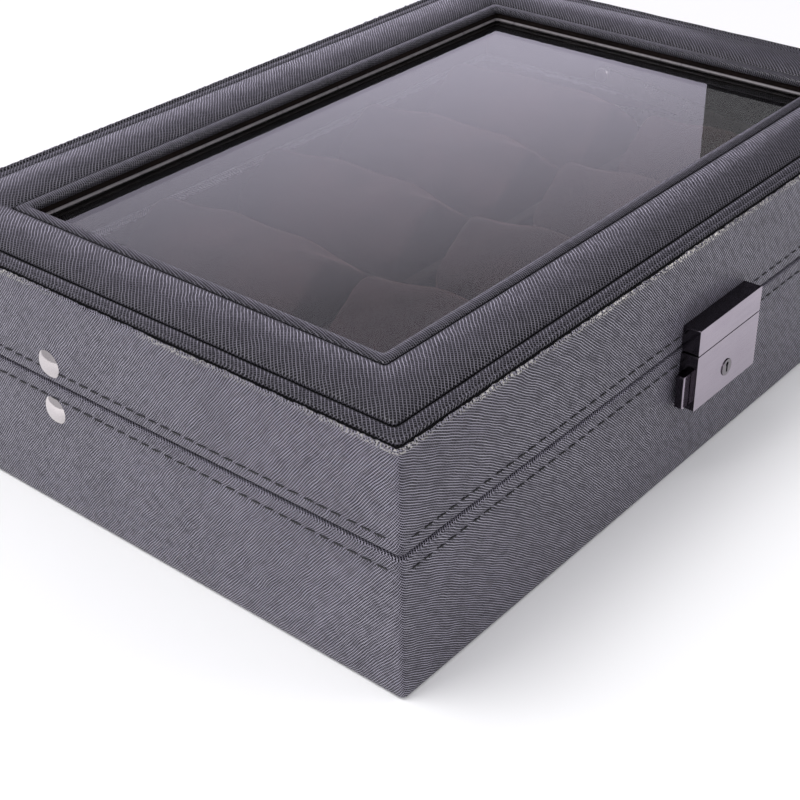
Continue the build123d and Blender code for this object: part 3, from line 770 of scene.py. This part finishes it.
# %% Pinch its ends
RISE = (high[2] - low[2]) * 0.37
SADDLE = 1.6 * MM
half_w, half_l, half_h = ((high[i] - low[i]) / 2 for i in range(3))
shoulder = half_h - RISE
for v in work.data.vertices:
    out = min(1.0, abs(v.co.x) / half_w)
    end = max(0.0, min(1.0, (abs(v.co.y) / half_l - 0.35) / 0.6))
    end = end * end * (3 - 2 * end)
    if v.co.z > shoulder:
        arch = math.sqrt(max(1e-4, 1 - out * out))
        gable = 1 - 0.94 * out
        v.co.z = shoulder + (v.co.z - shoulder) * (1 - end + end * min(1.0, gable / arch))
        v.co.z -= SADDLE * (1 - end) * (v.co.z - shoulder) / RISE
print("pinched, size mm:", [round(d / MM, 1) for d in work.dimensions])

# %% Set the ten pillows
SLACK = 0.7 * MM
DENT_SIZE, WRINKLE_SIZE = 21 * MM, 8 * MM
pillow_names = [n for n in nodes if n.startswith("pillow_")]
for index, name in enumerate(sorted(pillow_names)):
    low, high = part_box(name)
    centre = (Vector(low) + Vector(high)) / 2
    bm = bmesh.new()
    bm.from_mesh(work.data)
    bmesh.ops.smooth_vert(bm, verts=bm.verts, factor=0.4, use_axis_x=True, use_axis_y=True,
                          use_axis_z=True)
    bm.normal_update()
    for v in bm.verts:
        dent = noise.noise(v.co / DENT_SIZE + Vector((index * 7.3, 0, 0)))
        wrinkle = noise.noise(v.co / WRINKLE_SIZE + Vector((0, index * 3.1, 0)))
        v.co += v.normal * (dent * SLACK + wrinkle * 0.3 * SLACK)
    bmesh.ops.translate(bm, vec=centre, verts=bm.verts)
    for v in bm.verts:
        v.co.z = max(v.co.z, low[2])
    pillow = finish_piece(bm, "velvet_" + name, velvet, "base")
    rounder = pillow.modifiers.new("round", "SUBSURF")
    rounder.levels = rounder.render_levels = 1
    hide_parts(name)
bpy.data.objects.remove(work)

# %% [markdown]
# ## Metal
# The lock is dark plated metal with flat polished faces and crisp edges that catch a thin line
# of light, and the key plug is darker still. The rivets and the slider are bright nickel, and
# the hinges and stays are plain steel. Plating is never quite even, so each metal has faint
# streaks and dull clouds in its roughness.


# %% Mix the metals
def metal(name, colour, deep, low_rough, high_rough, amount):
    """Plated metal with fine streaks."""
    made, tree, shader = new_material(name)
    at = add(tree, "TexCoord").outputs["Object"]
    worn = add(tree, "Group", {"Vector": at, "Amount": amount}, node_tree=scratch)
    dull = worn.outputs["Dull"]
    tree.links.new(blend_colour(tree, dull, colour, deep), shader.inputs["Base Color"])
    tree.links.new(spread(tree, dull, 0, 1, low_rough, high_rough), shader.inputs["Roughness"])
    relief(tree, shader, worn.outputs["Height"], 0.08, 0.00005)
    plain(shader, {"Metallic": 1})
    return made


gunmetal = metal("gunmetal", (0.37, 0.325, 0.385, 1), (0.28, 0.245, 0.30, 1), 0.16, 0.3, 0.4)
nickel = metal("nickel", (0.66, 0.62, 0.62, 1), (0.46, 0.43, 0.44, 1), 0.08, 0.24, 0.6)
plug_metal = metal("plug_metal", (0.20, 0.18, 0.20, 1), (0.12, 0.11, 0.12, 1), 0.14, 0.3, 0.5)
steel = metal("steel", (0.46, 0.45, 0.46, 1), (0.3, 0.29, 0.3, 1), 0.25, 0.42, 0.6)
print("metals:", gunmetal.name, nickel.name, plug_metal.name, steel.name)

# %% [markdown]
# The lock's narrow sides get a painted shade: a face turned away from the front is coloured
# near black to stand for the dark reflections and shade on the sides, while the polished front
# keeps the metal's colour. The direction of a face on the piece itself tells the two apart.

# %% Paint shade on the lock's sides
SIDE_PAINTED_SHADE = (0.075, 0.066, 0.078, 1)
lock_tree = gunmetal.node_tree
lock_shader = lock_tree.nodes["Principled BSDF"]
face_colour = lock_shader.inputs["Base Color"].links[0].from_socket
face_normal = add(lock_tree, "TexCoord").outputs["Normal"]
facing = add(lock_tree, "SeparateXYZ", {0: face_normal}).outputs[1]
front = spread(lock_tree, calc(lock_tree, "ABSOLUTE", facing), 0.35, 0.8)
# Faces turned away from the front blend towards the painted shade colour.
lock_tree.links.new(blend_colour(lock_tree, front, SIDE_PAINTED_SHADE, face_colour),
                    lock_shader.inputs["Base Color"])
print("lock sides", SIDE_PAINTED_SHADE[:3])

# %% Plate the fittings
LOCK_PARTS = ["lock_case", "lock_hasp", "lock_button"]
dress(gunmetal, *LOCK_PARTS, "lock_backplate")
STEEL_NAMES = ("stay_lower", "stay_upper", "stay_knee", "hinge_")
STEEL_PARTS = [n for n in nodes if n.startswith(STEEL_NAMES)]
dress(steel, "lock_hook", *STEEL_PARTS)
dress(plug_metal, "lock_plug")
dress(nickel, "lock_slider", *[n for n in nodes if n.startswith("stay_rivet")])
for name in LOCK_PARTS:
    soften(name, 0.18 * MM)
for name in DIVIDERS:
    soften(name, 0.5 * MM)

# %% [markdown]
# ## Boards and glass
# The case is fibreboard, seen only at the cut edges. The glass is clear float glass held from
# below, with a thin pale bead of sealant where it meets the leather. Light that falls on the
# pillows has to pass the glass, so the glass lets shadow rays straight through.

# %% Finish the boards
CHIP_DARK, CHIP_PALE = (0.16, 0.10, 0.06, 1), (0.36, 0.25, 0.15, 1)
board, board_tree, board_shader = new_material("fibreboard")
chips = mottle(board_tree, 1400, 4)
board_tree.links.new(blend_colour(board_tree, chips, CHIP_DARK, CHIP_PALE),
                     board_shader.inputs["Base Color"])
relief(board_tree, board_shader, chips, 0.6, 0.0002)
plain(board_shader, {"Roughness": 0.9})
dress(board, *[n for n in nodes if n.startswith(("base_board", "lid_board"))])

# The lid's top frame is a black board, coloured darker still as painted shade for the narrow gap
# where it shows between the raw edge and the piping.
BOARD_AND_SHADE_DARK, BOARD_AND_SHADE_PALE = (0.0015, 0.0015, 0.0018, 1), (0.005, 0.0048, 0.0055, 1)
black_board_gap_shade, dark_tree, dark_shader = new_material("dark_board_gap_shade")
grit = mottle(dark_tree, 900, 3)
dark_tree.links.new(blend_colour(dark_tree, grit, BOARD_AND_SHADE_DARK, BOARD_AND_SHADE_PALE),
                    dark_shader.inputs["Base Color"])
plain(dark_shader, {"Roughness": 0.9, "Specular IOR Level": 0.1})
dress(black_board_gap_shade, "lid_top_frame")

# %% Fit the glass
THROUGH = (0.8, 0.8, 0.8, 1)
glass, glass_tree, glass_shader = new_material("clear_glass")
plain(glass_shader, {"Base Color": (0.99, 0.985, 0.99, 1), "Roughness": 0.0, "IOR": 1.5,
                     "Transmission Weight": 1})
through = add(glass_tree, "BsdfTransparent", {"Color": THROUGH})
shadow_ray = add(glass_tree, "LightPath").outputs["Is Shadow Ray"]
pane = add(glass_tree, "MixShader",
           {0: shadow_ray, 1: glass_shader.outputs[0], 2: through.outputs[0]})
glass_tree.links.new(pane.outputs[0], glass_tree.nodes["Material Output"].inputs["Surface"])
dress(glass, "lid_glass")

# %% Run the sealant
SEAL_DARK, SEAL_PALE = (0.10, 0.09, 0.10, 1), (0.22, 0.20, 0.21, 1)
seal_finish, seal_tree, seal_shader = new_material("sealant")
lumps = mottle(seal_tree, 350, 2)
seal_tree.links.new(blend_colour(seal_tree, lumps, SEAL_DARK, SEAL_PALE),
                    seal_shader.inputs["Base Color"])
seal_tree.links.new(spread(seal_tree, lumps, 0.3, 0.7, 0.25, 0.5), seal_shader.inputs["Roughness"])
PANE = GLASS_TOP / MM
IN = OPENING / MM
seal_section = [
    (IN, PANE), (IN, PANE + 0.7), (IN + 0.25, PANE + 0.62), (IN + 0.6, PANE + 0.3),
    (IN + 0.85, PANE),
]
seal_bm = sweep_ring(seal_section, corner=1.0, step=2.5)
seal_bm.normal_update()
ruffle(seal_bm, GLASS_TOP + 0.1 * MM, GLASS_TOP + 0.65 * MM, 0.1 * MM, 5 * MM, 51)
draw_hide(seal_bm)
finish_piece(seal_bm, "glass_seal", seal_finish, "lid")

# %% [markdown]
# ## The room
# The box stands on a plain pale floor. Two upright cards far behind it are what the glass
# mirrors: a bright one whose light fades towards its top, and a dark one to the right of it,
# which lets the inside show through that end of the glass. The dark card is seen only in
# mirror-like surfaces, so it doesn't darken the box or the floor.

# %% Lay the floor
FLOOR_HALF = 4
FLOOR_GAP = 0.0002
floor_bm = bmesh.new()
bmesh.ops.create_grid(floor_bm, x_segments=8, y_segments=8, size=FLOOR_HALF)
floor_mesh = bpy.data.meshes.new("floor")
floor_bm.to_mesh(floor_mesh)
floor_bm.free()
floor = bpy.data.objects.new("floor", floor_mesh)
floor.location.z = cad_box[0][2] - FLOOR_GAP
bpy.context.collection.objects.link(floor)
floor_paint, _, floor_shader = new_material("floor_paint")
plain(floor_shader, {"Base Color": (0.96, 0.96, 0.96, 1), "Roughness": 0.85})
floor_mesh.materials.append(floor_paint)
floor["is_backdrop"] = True
print("floor at", round(floor.location.z / MM, 2), "mm")


# %% Stand the bright card
CARD_LIFT = 0.01


def card(name, half_w, half_h, azimuth, distance, material):
    """An upright card that faces the box. It shows in mirrors and not to the camera."""
    card_bm = bmesh.new()
    bmesh.ops.create_grid(card_bm, x_segments=1, y_segments=1, size=1)
    bmesh.ops.scale(card_bm, vec=(half_w, half_h, 1), verts=card_bm.verts)
    turned = math.radians(azimuth)
    away = Vector((math.sin(turned), math.cos(turned), 0))
    upright = away.to_track_quat("Z", "Y").to_matrix().to_4x4()
    middle = away * distance + Vector((0, 0, half_h + CARD_LIFT))
    place = Matrix.Translation(middle) @ upright
    bmesh.ops.transform(card_bm, matrix=place, verts=card_bm.verts)
    mesh = bpy.data.meshes.new(name)
    card_bm.to_mesh(mesh)
    card_bm.free()
    mesh.materials.append(material)
    made = bpy.data.objects.new(name, mesh)
    bpy.context.collection.objects.link(made)
    made.visible_camera = made.visible_shadow = made.visible_transmission = False
    made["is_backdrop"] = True
    return made


EDGE_AZIMUTH = 63.3
FADE_FROM, FADE_TO = 0.92, 1.38
LOW_GLOW, HIGH_GLOW = (1.66, 1.55, 1.94, 1), (0.22, 0.20, 0.27, 1)
BACK_FAR, BACK_HALF, BACK_HALF_H = 2.2, 1.3, 1.0
backdrop_light, back_tree, back_shader = new_material("backdrop_light")
back_at = add(back_tree, "TexCoord").outputs["Object"]
height = add(back_tree, "SeparateXYZ", {0: back_at}).outputs[2]
fade = spread(back_tree, height, FADE_FROM, FADE_TO)
glow = blend_colour(back_tree, fade, LOW_GLOW, HIGH_GLOW)
back_tree.links.new(glow, back_shader.inputs["Emission Color"])
plain(back_shader, {"Emission Strength": 1.0, "Base Color": (0, 0, 0, 1),
                    "Specular IOR Level": 0})
back_turn = EDGE_AZIMUTH - math.degrees(math.atan(BACK_HALF / BACK_FAR))
card("backdrop", BACK_HALF, BACK_HALF_H, back_turn, BACK_FAR, backdrop_light)
print("backdrop edge at", EDGE_AZIMUTH, "degrees")

# %% Stand the dark card
DARK_FAR, DARK_HALF, DARK_HALF_H = 2.6, 1.8, 1.2
TUCK = 2
card_paint, _, card_shader = new_material("card_paint")
plain(card_shader, {"Base Color": (0.004, 0.004, 0.004, 1), "Roughness": 1,
                    "Specular IOR Level": 0})
dark_turn = EDGE_AZIMUTH - TUCK + math.degrees(math.atan(DARK_HALF / DARK_FAR))
dark_card = card("dark_card", DARK_HALF, DARK_HALF_H, dark_turn, DARK_FAR, card_paint)
dark_card.visible_diffuse = False
print("dark card turned to", round(dark_turn, 1), "degrees")

# %% [markdown]
# ## Compare the sizes and finish
# The looks may stand a little proud of the CAD box, but not by much, so the two boxes are
# compared and how far the looks reach beyond the CAD box is printed.

# %% Compare the two boxes and finish
shown_box = [list(corner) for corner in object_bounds()]
grown = [[round((b - a) / MM, 2) for a, b in zip(c, s)] for c, s in zip(cad_box, shown_box)]
print("visual box beyond CAD box, mm:", grown)
